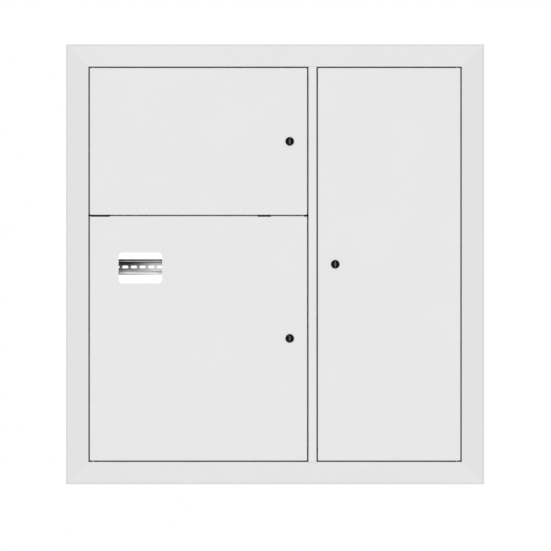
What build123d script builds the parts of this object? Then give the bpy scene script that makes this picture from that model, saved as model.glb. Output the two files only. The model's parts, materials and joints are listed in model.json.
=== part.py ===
"""Flush-mounted floor distribution board with three doors.

A folded sheet-steel box sits in a wall niche. A mitred, bevelled frame covers the edge of the
niche and carries the consumer door (upper left), the meter door (lower left, with a reading
window) and the low-current door (right). Each door turns on concealed pivot pins and is held by
a quarter-turn lock whose cam swings behind the stop flange of the mullion.

Millimetres. The front faces -Y, +Z is up, and the origin is the middle of the wall fixing holes
on the back face.
"""

from build123d import *

import os
from dataclasses import dataclass

os.makedirs("parts", exist_ok=True)

# Front layout
frame_width = 950.0
frame_height = 1000.0
overall_depth = 150.0
border_width = 51.0
left_opening_width = 499.8
mullion_width = 18.4
consumer_door_height = 333.75
door_gap = 3.0

# Sheet metal
frame_sheet = 1.2
door_sheet = 1.2
box_sheet = 1.2
bracket_sheet = 1.5
fold_inside = 0.3
pan_fold_inside = 0.4
pan_corner_inside = 1.3
corner_relief = 1.0

# Bevelled frame section
bezel_projection = 17.0
rim_height = 6.0
rim_inside = 1.4
stop_width = 12.0
stop_rail_height = 24.0
stop_rail_return = 6.0

# Doors
door_return = 14.0
window_width = 99.0
window_height = 70.5
window_from_left = 65.5
window_from_top = 82.45
window_corner = 9.0

# Pivot hinges
hinge_inset = 8.0
hinge_setback = 5.5
pivot_diameter = 5.0
pivot_head_diameter = 6.2
pivot_head_height = 1.2
pivot_reach = 4.0
running_clearance = 0.1
collar_clearance = 0.3
lug_clearance = 0.25
lug_length = 48.0
lug_edge = 2.2
lug_corner = 4.0

# Quarter-turn locks
lock_inset = 39.5
lock_head_diameter = 19.5
lock_head_height = 2.0
lock_head_edge = 0.9
lock_barrel_diameter = 16.5
lock_flats = 15.5
lock_recess_diameter = 13.2
lock_recess_depth = 9.0
lock_hole_clearance = 0.15
lock_nut_flats = 22.0
lock_nut_height = 4.0
rotor_diameter = 9.0
rotor_square = 7.0
rotor_end_play = 0.3
bit_width = 3.2
bit_clearance = 0.5
bit_boss_diameter = 5.2
bit_setback = 0.8
cam_reach = 38.0
cam_root_radius = 9.0
cam_tip_radius = 7.0
cam_thickness = 2.5
cam_clearance = 0.5
cam_bolt_diameter = 5.0
cam_bolt_reach = 8.0
cam_bolt_flats = 8.0
cam_bolt_head_height = 3.5
cam_washer_diameter = 13.0
cam_washer_thickness = 1.2

# Rubber door bumpers
bumper_thickness = 4.8
bumper_clearance = 0.2
bumper_height = 12.0
bumper_width = 9.5
wide_bumper_length = 30.0
wide_bumper_from_mullion = 100.0
bumper_from_corner = 25.0

# Box, back panel and cut-outs
box_margin = 2.0
back_lip = 15.0
wall_hole_from_side = 74.8
wall_hole_from_end = 49.8
wall_hole_diameter = 9.0
service_clearance = 5.0
service_height = 150.0
service_corner = 12.0
entry_depth = 60.0
left_entry_margin = 99.5
right_entry_margin = 74.75
entry_corner = 8.0
partition_foot = 15.0
partition_tuck = 14.0
grommet_hole_diameter = 40.0
grommet_bore_diameter = 32.0
grommet_rim = 4.0
grommet_rim_thickness = 2.5
grommet_from_bottom = 70.0
shelf_pass_width = 160.0
shelf_pass_depth = 50.0

# Screws
screw_diameter = 4.0
screw_head_diameter = 8.0
screw_head_height = 2.4
screw_clearance = 0.2
thread_clearance = 0.05
frame_screw_inset = 90.0
nut_flats = 7.0
nut_height = 3.2
screw_end = 2.0

# Top-hat rails
rail_width = 35.0
rail_hat_width = 24.0
rail_depth = 7.5
rail_sheet = 1.0
rail_fold_inside = 0.8
rail_setback = 80.0
rail_end_clearance = 3.5
rail_above_window_middle = 2.5
slot_pitch = 19.9
slot_length = 14.0
slot_width = 6.5
bracket_width = 18.0
bracket_height = 44.0

# Inner cover of the consumer section
plastron_setback = 38.0
plastron_lip = 12.0
plastron_clearance = 4.0
module_slot_margin = 22.5
module_slot_height = 46.0
post_diameter = 10.0
post_inset = 12.0
post_thread_depth = 12.0

# Neutral and earth bars
bar_end = 20.0
bar_height = 10.0
bar_thickness = 8.0
bar_stand = 30.0
bar_terminals = 10
bar_terminal_pitch = 13.0
bar_wire_diameter = 5.5
terminal_head_diameter = 6.5
terminal_head_height = 2.0
terminal_shank_diameter = 4.0
bar_support_width = 14.0
bar_support_height = 24.0
bar_support_neck = 15.0
bar_support_foot = 4.0
bar_support_corner = 2.0
bars_from_bottom = 120.0
bar_gap = 60.0

# Low-current mounting plate
plate_margin_x = 34.75
plate_margin_z = 129.0
plate_sheet = 1.5
plate_stand = 28.0
plate_corner = 6.0
plate_slot_width = 6.0
plate_slot_height = 30.0
plate_slot_pitch_x = 45.0
plate_slot_pitch_z = 58.0
plate_post_inset = 14.0

# Earth stud
stud_diameter = 8.0
stud_length = 26.0
stud_nut_flats = 13.0
stud_nut_height = 6.5
stud_washer_diameter = 16.0
stud_washer_thickness = 1.6
stud_from_partition = 40.0
stud_from_bottom = 60.0

# Depth levels
stop_depth = door_return + bumper_clearance + bumper_thickness
front_y = -overall_depth
wall_y = front_y + bezel_projection
stop_y = front_y + stop_depth
box_front_y = stop_y + frame_sheet
flange_rear_y = box_front_y + box_sheet
back_face_y = -box_sheet
hinge_y = front_y + hinge_setback
cam_front_y = box_front_y + cam_clearance
rail_y = front_y + rail_setback
plastron_y = front_y + plastron_setback

# Door openings and compartments
open_right = frame_width / 2 - border_width
open_left = -open_right
open_top = frame_height / 2 - border_width
open_bottom = -open_top
mullion_left = open_left + left_opening_width
mullion_right = mullion_left + mullion_width
mullion_x = (mullion_left + mullion_right) / 2
right_opening_width = open_right - mullion_right
flange_right = open_right - stop_width
flange_top = open_top - stop_width
box_right = open_right + box_margin
box_top = open_top + box_margin
inner_right = box_right - box_sheet
inner_top = box_top - box_sheet
tray_right = inner_right - box_sheet
tray_top = inner_top - box_sheet
partition_left = mullion_x - box_sheet / 2
left_x = (open_left + mullion_left) / 2
right_x = (mullion_right + open_right) / 2
middle_gap_z = open_top - door_gap - consumer_door_height - door_gap / 2
entry_y = (box_front_y + back_face_y) / 2


@dataclass
class Door:
    """Rectangle of one door in the front view, hinged on its left (-1) or right (1) edge."""

    name: str
    left: float
    right: float
    bottom: float
    top: float
    hinge_side: int

    @property
    def width(self):
        return self.right - self.left

    @property
    def height(self):
        return self.top - self.bottom

    @property
    def centre(self):
        return ((self.left + self.right) / 2, (self.bottom + self.top) / 2)

    @property
    def hinge_x(self):
        edge = self.left if self.hinge_side < 0 else self.right
        return edge - self.hinge_side * hinge_inset

    @property
    def lock(self):
        edge = self.right if self.hinge_side < 0 else self.left
        return (edge + self.hinge_side * lock_inset, self.centre[1])


left_door_left = open_left + door_gap
left_door_right = mullion_left - door_gap
consumer_bottom = middle_gap_z + door_gap / 2
meter_top = middle_gap_z - door_gap / 2
consumer = Door("consumer", left_door_left, left_door_right, consumer_bottom, open_top - door_gap, -1)
meter = Door("meter", left_door_left, left_door_right, open_bottom + door_gap, meter_top, -1)
comms_left = mullion_right + door_gap
comms_right = open_right - door_gap
comms = Door("comms", comms_left, comms_right, open_bottom + door_gap, open_top - door_gap, 1)
doors = (consumer, meter, comms)

window_x = meter.left + window_from_left + window_width / 2
window_z = meter.top - window_from_top - window_height / 2
meter_rail_z = window_z + rail_above_window_middle
module_rail_z = consumer.centre[1]
rail_length = left_opening_width - 2 * stop_width - 2 * rail_end_clearance
slot_count = 2 * int(rail_length / slot_pitch / 2)
bracket_offset = (slot_count - 1) / 2 * slot_pitch
service_width = 2 * (bracket_offset - bracket_width / 2 - service_clearance)


def facing_front(y):
    """Sketch plane at depth y, seen from the front: x to the right, z up."""
    return Plane.XZ.offset(-y)


def fold_radii(points, inside_radii, sheet):
    """Radius of each corner of a path that has the metal on its right."""
    radii = []
    for before, corner, after, inside in zip(points, points[1:], points[2:], inside_radii):
        into = Vector(*corner) - Vector(*before)
        out = Vector(*after) - Vector(*corner)
        turns_right = into.cross(out).Z < 0
        radii.append(inside + sheet if turns_right else inside)
    return radii


def folded_section(plane, points, sheet, inside_radii=None):
    """Section of a sheet folded along points, with the metal on the right of the path."""
    if inside_radii is None:
        inside_radii = [fold_inside] * (len(points) - 2)
    with BuildSketch(plane) as section:
        with BuildLine():
            FilletPolyline(*points, radius=fold_radii(points, inside_radii, sheet))
            offset(amount=sheet, side=Side.RIGHT)
        make_face()
    return section.sketch


def rounded_block(centre, width, height, corner, web_y, depth, edge):
    """Block from web_y to web_y + depth with rounded corners and a rounded edge round its web."""
    with BuildPart() as block:
        with BuildSketch(facing_front(web_y)):
            with Locations(centre):
                RectangleRounded(width, height, corner)
        extrude(amount=-depth)
        web = block.faces().sort_by(Axis.Y)[0 if depth > 0 else -1]
        fillet(web.edges(), edge)
    return block.part


def folded_pan(centre, width, height, web_y, depth, sheet):
    """Sheet pan with its web at web_y and lips that reach depth from it."""
    corner = pan_corner_inside
    fold = pan_fold_inside
    inner_y = web_y + (sheet if depth > 0 else -sheet)
    inner_width = width - 2 * sheet
    inner_height = height - 2 * sheet
    outside = rounded_block(centre, width, height, corner + sheet, web_y, depth, fold + sheet)
    inside = rounded_block(centre, inner_width, inner_height, corner, inner_y, depth, fold)
    with BuildPart() as pan:
        add(outside)
        add(inside, mode=Mode.SUBTRACT)
    return pan.part


def save(piece, name):
    """Label a finished piece and write it as the node of that name."""
    piece.part.label = name
    export_step(piece.part, f"parts/{name}.step")


def pan_screws(name, seat_y, points, grip):
    """Pan-head screws seen from the front, with their heads on seat_y."""
    with BuildPart() as screws:
        with BuildSketch(facing_front(seat_y)):
            with Locations(*points):
                Circle(screw_head_diameter / 2)
        extrude(amount=screw_head_height)
        chamfer(screws.faces().group_by(Axis.Y)[0].edges(), screw_head_height / 3)
        with BuildSketch(facing_front(seat_y)):
            with Locations(*points):
                Circle(screw_diameter / 2)
        extrude(amount=-grip)
    save(screws, name)


def threaded_posts(name, points, seat_y):
    """Round posts from the back panel to seat_y, threaded at the front."""
    with BuildPart() as posts:
        with BuildSketch(facing_front(seat_y)):
            with Locations(*points):
                Circle(post_diameter / 2)
        extrude(amount=-(back_face_y - seat_y))
        with BuildSketch(facing_front(seat_y)):
            with Locations(*points):
                Circle(screw_diameter / 2 + thread_clearance)
        extrude(amount=-post_thread_depth, mode=Mode.SUBTRACT)
    save(posts, name)


def corner_points(centre, width, height, inset):
    """Four points inset from the corners of a rectangle."""
    half_x = width / 2 - inset
    half_z = height / 2 - inset
    return [(centre[0] + sx * half_x, centre[1] + sz * half_z) for sx in (-1, 1) for sz in (-1, 1)]


# Mitred frame members
frame_path = [
    (0, 0),
    (0, rim_height),
    (border_width, bezel_projection),
    (border_width, bezel_projection - stop_depth),
    (border_width + stop_width, bezel_projection - stop_depth),
]
frame_folds = [rim_inside, fold_inside, fold_inside]
left_edge = Plane((-frame_width / 2, wall_y, 0), x_dir=(1, 0, 0), z_dir=(0, 0, -1))
right_edge = Plane((frame_width / 2, wall_y, 0), x_dir=(-1, 0, 0), z_dir=(0, 0, 1))
top_edge = Plane((0, wall_y, frame_height / 2), x_dir=(0, 0, -1), z_dir=(-1, 0, 0))
bottom_edge = Plane((0, wall_y, -frame_height / 2), x_dir=(0, 0, 1), z_dir=(1, 0, 0))
frame_members = {
    "frame_left": (left_edge, frame_height),
    "frame_right": (right_edge, frame_height),
    "frame_top": (top_edge, frame_width),
    "frame_bottom": (bottom_edge, frame_width),
}
frame_screw_xs = [
    open_left + frame_screw_inset,
    mullion_left - frame_screw_inset,
    mullion_right + frame_screw_inset,
    open_right - frame_screw_inset,
]
frame_screw_z = open_top - stop_width / 2
frame_screw_points = [(x, side * frame_screw_z) for side in (-1, 1) for x in frame_screw_xs]
screw_hole_radius = screw_diameter / 2 + screw_clearance

for name, (edge, length) in frame_members.items():
    with BuildPart() as member:
        extrude(folded_section(edge, frame_path, frame_sheet, frame_folds), amount=length / 2, both=True)
        for end in (-1, 1):
            corner = edge.origin + edge.z_dir * (end * length / 2)
            split(bisect_by=Plane(corner, z_dir=edge.x_dir + edge.z_dir * end), keep=Keep.BOTTOM)
        if name in ("frame_top", "frame_bottom"):
            side = 1 if name == "frame_top" else -1
            with BuildSketch(facing_front(stop_y)):
                with Locations(*[(x, side * frame_screw_z) for x in frame_screw_xs]):
                    Circle(screw_hole_radius)
            extrude(amount=-2 * frame_sheet, mode=Mode.SUBTRACT)
            with Locations(*[(door.hinge_x, hinge_y, side * open_top) for door in (consumer, comms)]):
                Cylinder(pivot_diameter / 2 + thread_clearance, 3 * frame_sheet, mode=Mode.SUBTRACT)
    save(member, name)

# Mullion between the left and right doors, a hat section with stop flanges
mullion_path = [
    (mullion_right + stop_width, stop_y),
    (mullion_right, stop_y),
    (mullion_right, front_y),
    (mullion_left, front_y),
    (mullion_left, stop_y),
    (mullion_left - stop_width, stop_y),
]
with BuildPart() as frame_mullion:
    extrude(folded_section(Plane.XY, mullion_path, frame_sheet), amount=open_top, both=True)
    with BuildSketch(facing_front(stop_y - fold_inside)):
        with Locations((mullion_x, flange_top + stop_width), (mullion_x, -flange_top - stop_width)):
            Rectangle(mullion_width + 3 * stop_width, 2 * stop_width)
    extrude(amount=-2 * frame_sheet, mode=Mode.SUBTRACT)
save(frame_mullion, "frame_mullion")

# Stop rail behind the gap between the two left doors
stop_rail_left = open_left + stop_width
stop_rail_right = mullion_left - stop_width
stop_rail_path = [
    (stop_y + stop_rail_return, middle_gap_z - stop_rail_height / 2),
    (stop_y, middle_gap_z - stop_rail_height / 2),
    (stop_y, middle_gap_z + stop_rail_height / 2),
    (stop_y + stop_rail_return, middle_gap_z + stop_rail_height / 2),
]
with BuildPart() as middle_stop_rail:
    stop_rail_plane = Plane.YZ.offset((stop_rail_left + stop_rail_right) / 2)
    stop_rail_section = folded_section(stop_rail_plane, stop_rail_path, frame_sheet)
    extrude(stop_rail_section, amount=(stop_rail_right - stop_rail_left) / 2, both=True)
save(middle_stop_rail, "middle_stop_rail")

# Rubber bumpers on the stop flanges of the mullion and on the stop rail
left_bumper_x = mullion_left - fold_inside - bumper_width / 2
right_bumper_x = mullion_right + fold_inside + bumper_width / 2
narrow_bumpers = [
    (left_bumper_x, consumer.top - bumper_from_corner),
    (left_bumper_x, middle_gap_z),
    (left_bumper_x, meter.bottom + bumper_from_corner),
    (right_bumper_x, comms.top - bumper_from_corner),
    (right_bumper_x, comms.bottom + bumper_from_corner),
]
with BuildPart() as door_bumpers:
    with BuildSketch(facing_front(stop_y)):
        with Locations(*narrow_bumpers):
            Rectangle(bumper_width, bumper_height)
        with Locations((mullion_left - wide_bumper_from_mullion, middle_gap_z)):
            Rectangle(wide_bumper_length, bumper_height)
    extrude(amount=bumper_thickness)
    chamfer(door_bumpers.faces().group_by(Axis.Y)[0].edges(), bumper_thickness / 6)
save(door_bumpers, "door_bumpers")

# Pivot pins and the lug that carries the middle pin
pivot_radius = pivot_diameter / 2
pivot_end = door_gap + door_sheet + pivot_reach
with BuildPart() as top_hinge_pins:
    for door in (consumer, comms):
        with BuildSketch(Plane.XY.offset(open_top + frame_sheet)):
            with Locations((door.hinge_x, hinge_y)):
                Circle(pivot_head_diameter / 2)
        extrude(amount=pivot_head_height)
        with BuildSketch(Plane.XY.offset(open_top + frame_sheet)):
            with Locations((door.hinge_x, hinge_y)):
                Circle(pivot_radius)
        extrude(amount=-(frame_sheet + pivot_end))
save(top_hinge_pins, "top_hinge_pins")

with BuildPart() as bottom_hinge_pins:
    for door in (meter, comms):
        with BuildSketch(Plane.XY.offset(open_bottom - frame_sheet)):
            with Locations((door.hinge_x, hinge_y)):
                Circle(pivot_head_diameter / 2)
        extrude(amount=-pivot_head_height)
        with BuildSketch(Plane.XY.offset(open_bottom - frame_sheet)):
            with Locations((door.hinge_x, hinge_y)):
                Circle(pivot_radius)
        extrude(amount=frame_sheet + pivot_end)
        with BuildSketch(Plane.XY.offset(open_bottom)):
            with Locations((door.hinge_x, hinge_y)):
                Circle(pivot_head_diameter / 2)
        extrude(amount=door_gap - collar_clearance)
save(bottom_hinge_pins, "bottom_hinge_pins")

with BuildPart() as middle_hinge_pin:
    with BuildSketch(Plane.XY.offset(middle_gap_z)):
        with Locations((consumer.hinge_x, hinge_y)):
            Circle(pivot_radius)
    extrude(amount=door_gap / 2 + door_sheet + pivot_reach, both=True)
save(middle_hinge_pin, "middle_hinge_pin")

lug_front_y = hinge_y - pivot_radius - lug_edge
lug_rear_y = stop_y - fold_inside
with BuildPart() as middle_hinge_lug:
    with BuildSketch(Plane.XY.offset(middle_gap_z)) as lug_outline:
        with Locations((open_left + lug_length / 2, (lug_front_y + lug_rear_y) / 2)):
            Rectangle(lug_length, lug_rear_y - lug_front_y)
        fillet(lug_outline.vertices().group_by(Axis.X)[-1], lug_corner)
        with Locations((consumer.hinge_x, hinge_y)):
            Circle(pivot_radius + thread_clearance, mode=Mode.SUBTRACT)
    extrude(amount=door_gap / 2 - lug_clearance, both=True)
save(middle_hinge_lug, "middle_hinge_lug")

# Door panels, folded pans with pivot holes, lock hole and the reading window
for door in doors:
    with BuildPart() as panel:
        add(folded_pan(door.centre, door.width, door.height, front_y, door_return, door_sheet))
        with BuildSketch(facing_front(front_y)):
            with Locations(door.lock):
                Circle(lock_barrel_diameter / 2 + lock_hole_clearance)
                Rectangle(lock_flats + 2 * lock_hole_clearance, lock_barrel_diameter * 2, mode=Mode.INTERSECT)
            if door is meter:
                with Locations((window_x, window_z)):
                    RectangleRounded(window_width, window_height, window_corner)
        extrude(amount=-2 * door_sheet, mode=Mode.SUBTRACT)
        with Locations((door.hinge_x, hinge_y, door.centre[1])):
            Cylinder(pivot_radius + running_clearance, 2 * door.height, mode=Mode.SUBTRACT)
    save(panel, f"{door.name}_door")

# Quarter-turn locks: housing and nut on the door, rotor, cam and bolt turning in the housing
barrel_rear_y = cam_front_y - rotor_end_play
lock_face_y = front_y - lock_head_height
recess_floor_y = lock_face_y + lock_recess_depth
bit_front_y = lock_face_y + bit_setback
bit_length = lock_recess_diameter - 2 * bit_clearance
for door in doors:
    x, z = door.lock

    with BuildPart() as housing:
        with BuildSketch(facing_front(front_y)):
            with Locations((x, z)):
                Circle(lock_head_diameter / 2)
        extrude(amount=lock_head_height)
        fillet(housing.faces().sort_by(Axis.Y)[0].edges(), lock_head_edge)
        with BuildSketch(facing_front(front_y)):
            with Locations((x, z)):
                Circle(lock_barrel_diameter / 2)
                Rectangle(lock_flats, lock_barrel_diameter * 2, mode=Mode.INTERSECT)
        extrude(amount=-(barrel_rear_y - front_y))
        with BuildSketch(facing_front(lock_face_y)):
            with Locations((x, z)):
                Circle(lock_recess_diameter / 2)
        extrude(amount=-lock_recess_depth, mode=Mode.SUBTRACT)
        with BuildSketch(facing_front(lock_face_y)):
            with Locations((x, z)):
                Circle(rotor_diameter / 2 + running_clearance)
        extrude(amount=-(barrel_rear_y - lock_face_y), mode=Mode.SUBTRACT)
    save(housing, f"{door.name}_lock_housing")

    with BuildPart() as nut:
        with BuildSketch(facing_front(front_y + door_sheet)):
            with Locations((x, z)):
                RegularPolygon(lock_nut_flats / 2, 6, major_radius=False)
                Circle(lock_barrel_diameter / 2 + thread_clearance, mode=Mode.SUBTRACT)
        extrude(amount=-lock_nut_height)
    save(nut, f"{door.name}_lock_nut")

    with BuildPart() as rotor:
        with BuildSketch(facing_front(bit_front_y)):
            with Locations((x, z)):
                Rectangle(bit_width, bit_length)
                Circle(bit_boss_diameter / 2)
        extrude(amount=-(recess_floor_y - running_clearance - bit_front_y))
        with BuildSketch(facing_front(recess_floor_y - running_clearance)):
            with Locations((x, z)):
                Circle(rotor_diameter / 2)
        extrude(amount=-(cam_front_y - recess_floor_y + running_clearance))
        with BuildSketch(facing_front(cam_front_y)):
            with Locations((x, z)):
                Rectangle(rotor_square, rotor_square)
        extrude(amount=-(cam_thickness - running_clearance))
        with BuildSketch(facing_front(cam_front_y + cam_thickness)):
            with Locations((x, z)):
                Circle(cam_bolt_diameter / 2 + thread_clearance)
        extrude(amount=cam_bolt_reach, mode=Mode.SUBTRACT)
    save(rotor, f"{door.name}_lock_rotor")

    with BuildPart() as cam:
        with BuildSketch(facing_front(cam_front_y)):
            with BuildSketch(mode=Mode.PRIVATE) as cam_ends:
                with Locations((x, z)):
                    Circle(cam_root_radius)
                with Locations((x, z - cam_reach + cam_tip_radius)):
                    Circle(cam_tip_radius)
            make_hull(cam_ends.edges())
            with Locations((x, z)):
                square_hole = rotor_square + 2 * thread_clearance
                Rectangle(square_hole, square_hole, mode=Mode.SUBTRACT)
        extrude(amount=-cam_thickness)
    save(cam, f"{door.name}_lock_cam")

    with BuildPart() as bolt:
        with BuildSketch(facing_front(cam_front_y + cam_thickness)):
            with Locations((x, z)):
                Circle(cam_washer_diameter / 2)
        extrude(amount=-cam_washer_thickness)
        with BuildSketch(facing_front(cam_front_y + cam_thickness + cam_washer_thickness)):
            with Locations((x, z)):
                RegularPolygon(cam_bolt_flats / 2, 6, major_radius=False)
        extrude(amount=-cam_bolt_head_height)
        with BuildSketch(facing_front(cam_front_y + cam_thickness)):
            with Locations((x, z)):
                Circle(cam_bolt_diameter / 2)
        extrude(amount=cam_bolt_reach - 2 * running_clearance)
    save(bolt, f"{door.name}_lock_bolt")

# Side panels of the box, full height, with front flanges behind the frame
side_paths = {
    "left_side_panel": [(-flange_right, box_front_y), (-box_right, box_front_y), (-box_right, 0)],
    "right_side_panel": [(box_right, 0), (box_right, box_front_y), (flange_right, box_front_y)],
}
for name, path in side_paths.items():
    with BuildPart() as side_panel:
        extrude(folded_section(Plane.XY, path, box_sheet), amount=box_top, both=True)
    save(side_panel, name)

# Top and bottom panels between the sides, with cable entries for both sections
end_paths = {
    "top_panel": [(box_front_y, flange_top), (box_front_y, box_top), (0, box_top)],
    "bottom_panel": [(0, -box_top), (box_front_y, -box_top), (box_front_y, -flange_top)],
}
notch_inner = flange_right - corner_relief
notch_x = (notch_inner + inner_right) / 2
left_entry_width = left_opening_width - 2 * left_entry_margin
right_entry_width = right_opening_width - 2 * right_entry_margin
for name, path in end_paths.items():
    side = 1 if name == "top_panel" else -1
    with BuildPart() as end_panel:
        extrude(folded_section(Plane.YZ, path, box_sheet), amount=inner_right, both=True)
        with BuildSketch(facing_front(box_front_y)):
            with Locations((-notch_x, side * box_top), (notch_x, side * box_top)):
                Rectangle(inner_right - notch_inner, 4 * stop_width)
        extrude(amount=-(box_sheet + corner_relief), mode=Mode.SUBTRACT)
        with BuildSketch(facing_front(box_front_y)):
            with Locations(*[(x, side * frame_screw_z) for x in frame_screw_xs]):
                Circle(screw_hole_radius)
        extrude(amount=-2 * box_sheet, mode=Mode.SUBTRACT)
        with BuildSketch(Plane.XY.offset(side * box_top)):
            with Locations((left_x, entry_y)):
                RectangleRounded(left_entry_width, entry_depth, entry_corner)
            with Locations((right_x, entry_y)):
                RectangleRounded(right_entry_width, entry_depth, entry_corner)
        extrude(amount=2 * box_sheet, both=True, mode=Mode.SUBTRACT)
    save(end_panel, name)

# Back panel, a shallow tray with wall holes and the service opening behind the meter rail
wall_hole_spacing_x = 2 * (inner_right - wall_hole_from_side)
wall_hole_spacing_z = 2 * (inner_top - wall_hole_from_end)
with BuildPart() as back_panel:
    add(folded_pan((0, 0), 2 * inner_right, 2 * inner_top, 0, -back_lip, box_sheet))
    with BuildSketch(Plane.XZ):
        with GridLocations(wall_hole_spacing_x, wall_hole_spacing_z, 2, 2):
            Circle(wall_hole_diameter / 2)
        with Locations((left_x, meter_rail_z)):
            RectangleRounded(service_width, service_height, service_corner)
    extrude(amount=2 * box_sheet, mode=Mode.SUBTRACT)
save(back_panel, "back_panel")

# Upright partition between the left and right sections, tucked into the mullion
partition_front_y = box_front_y - partition_tuck
partition_path = [
    (partition_left, partition_front_y),
    (partition_left, back_face_y),
    (partition_left + partition_foot, back_face_y),
]
notch_rear_y = flange_rear_y + corner_relief
partition_top = tray_top - corner_relief
grommet_z = -partition_top + grommet_from_bottom
with BuildPart() as compartment_partition:
    extrude(folded_section(Plane.XY, partition_path, box_sheet), amount=partition_top, both=True)
    with BuildSketch(Plane.YZ.offset(mullion_x)):
        for side in (-1, 1):
            with Locations((partition_front_y, side * partition_top)):
                Rectangle(2 * (notch_rear_y - partition_front_y), 2 * (tray_top - flange_top))
        with Locations((entry_y, grommet_z)):
            Circle(grommet_hole_diameter / 2)
    extrude(amount=box_sheet, both=True, mode=Mode.SUBTRACT)
save(compartment_partition, "compartment_partition")

grommet_groove = grommet_hole_diameter / 2 - thread_clearance
grommet_half = box_sheet / 2 + thread_clearance
with BuildPart() as partition_grommet:
    with BuildSketch(Plane.YZ.offset(mullion_x)):
        with Locations((entry_y, grommet_z)):
            Circle(grommet_hole_diameter / 2 + grommet_rim)
    extrude(amount=grommet_half + grommet_rim_thickness, both=True)
    with BuildSketch(Plane.YZ.offset(mullion_x)):
        with Locations((entry_y, grommet_z)):
            Circle(grommet_hole_diameter / 2 + 2 * grommet_rim)
            Circle(grommet_groove, mode=Mode.SUBTRACT)
    extrude(amount=grommet_half, both=True, mode=Mode.SUBTRACT)
    with BuildSketch(Plane.YZ.offset(mullion_x)):
        with Locations((entry_y, grommet_z)):
            Circle(grommet_bore_diameter / 2)
    extrude(amount=2 * (grommet_half + grommet_rim_thickness), both=True, mode=Mode.SUBTRACT)
save(partition_grommet, "partition_grommet")

# Shelf between the consumer and meter sections, a channel with a cable passage
shelf_top = middle_gap_z + box_sheet / 2
shelf_flange = stop_rail_height / 2 - frame_sheet - box_sheet
shelf_path = [
    (box_front_y, shelf_top - shelf_flange),
    (box_front_y, shelf_top),
    (back_face_y, shelf_top),
    (back_face_y, shelf_top - shelf_flange),
]
shelf_left = corner_relief - tray_right
shelf_x = (shelf_left + partition_left) / 2
with BuildPart() as section_shelf:
    shelf_section = folded_section(Plane.YZ.offset(shelf_x), shelf_path, box_sheet)
    extrude(shelf_section, amount=(partition_left - shelf_left) / 2, both=True)
    with BuildSketch(Plane.XY.offset(shelf_top)):
        with Locations((shelf_left, box_front_y)):
            Rectangle(2 * (tray_right - flange_right), 2 * (box_sheet + corner_relief))
        with Locations((left_x, entry_y)):
            RectangleRounded(shelf_pass_width, shelf_pass_depth, entry_corner)
    extrude(amount=-2 * shelf_flange, mode=Mode.SUBTRACT)
save(section_shelf, "section_shelf")

# Screws and nuts that hold the frame on the box
pan_screws("frame_screws", stop_y, frame_screw_points, frame_sheet + box_sheet + nut_height + screw_end)
with BuildPart() as frame_nuts:
    with BuildSketch(facing_front(flange_rear_y)):
        with Locations(*frame_screw_points):
            RegularPolygon(nut_flats / 2, 6, major_radius=False)
            Circle(screw_diameter / 2 + thread_clearance, mode=Mode.SUBTRACT)
    extrude(amount=-nut_height)
save(frame_nuts, "frame_nuts")

# Perforated top-hat rails on folded brackets
rail_groove = rail_hat_width / 2 - rail_sheet
rail_web_y = rail_y + rail_depth - rail_sheet
bracket_front_y = rail_y + rail_depth
rail_path = [
    (-rail_width / 2, 0),
    (-rail_groove, 0),
    (-rail_groove, rail_sheet - rail_depth),
    (rail_groove, rail_sheet - rail_depth),
    (rail_groove, 0),
    (rail_width / 2, 0),
]
rail_folds = [rail_fold_inside] * 4
rail_heights = {"meter_rail": meter_rail_z, "module_rail": module_rail_z}
rail_screw_points = [(left_x + side * bracket_offset, z) for z in rail_heights.values() for side in (-1, 1)]

for name, z in rail_heights.items():
    rail_section_plane = Plane((left_x, rail_y, z), x_dir=(0, 0, 1), z_dir=(1, 0, 0))
    with BuildPart() as rail:
        rail_section = folded_section(rail_section_plane, rail_path, rail_sheet, rail_folds)
        extrude(rail_section, amount=rail_length / 2, both=True)
        with BuildSketch(facing_front(rail_web_y)):
            with Locations((left_x, z)):
                with GridLocations(slot_pitch, slot_pitch, slot_count, 1):
                    SlotOverall(slot_length, slot_width)
        extrude(amount=-2 * rail_sheet, mode=Mode.SUBTRACT)
    save(rail, name)

with BuildPart() as rail_brackets:
    for x, z in rail_screw_points:
        inward = 1 if x < left_x else -1
        web_x = x - inward * bracket_width / 2
        toe_x = x + inward * bracket_width / 2
        bracket_path = [
            (toe_x, bracket_front_y),
            (web_x, bracket_front_y),
            (web_x, back_face_y),
            (toe_x, back_face_y),
        ]
        if inward < 0:
            bracket_path.reverse()
        bracket_section = folded_section(Plane.XY.offset(z), bracket_path, bracket_sheet)
        extrude(bracket_section, amount=bracket_height / 2, both=True)
    with BuildSketch(facing_front(bracket_front_y)):
        with Locations(*rail_screw_points):
            Circle(screw_diameter / 2 + thread_clearance)
    extrude(amount=-2 * bracket_sheet, mode=Mode.SUBTRACT)
save(rail_brackets, "rail_brackets")

pan_screws("rail_screws", rail_web_y, rail_screw_points, rail_sheet + bracket_sheet + screw_end)

# Inner cover of the consumer section with its module slot, on four posts
cover_left = open_left + stop_width + plastron_clearance
cover_right = mullion_left - stop_width - plastron_clearance
cover_bottom = middle_gap_z + stop_rail_height / 2 + plastron_clearance
cover_top = flange_top - plastron_clearance
cover_centre = ((cover_left + cover_right) / 2, (cover_bottom + cover_top) / 2)
cover_width = cover_right - cover_left
cover_height = cover_top - cover_bottom
cover_points = corner_points(cover_centre, cover_width, cover_height, post_inset)
with BuildPart() as plastron:
    add(folded_pan(cover_centre, cover_width, cover_height, plastron_y, plastron_lip, box_sheet))
    with BuildSketch(facing_front(plastron_y)):
        with Locations((left_x, module_rail_z)):
            Rectangle(cover_width - 2 * module_slot_margin, module_slot_height)
        with Locations(*cover_points):
            Circle(screw_hole_radius)
    extrude(amount=-2 * box_sheet, mode=Mode.SUBTRACT)
save(plastron, "plastron")
threaded_posts("plastron_posts", cover_points, plastron_y + box_sheet)
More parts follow.
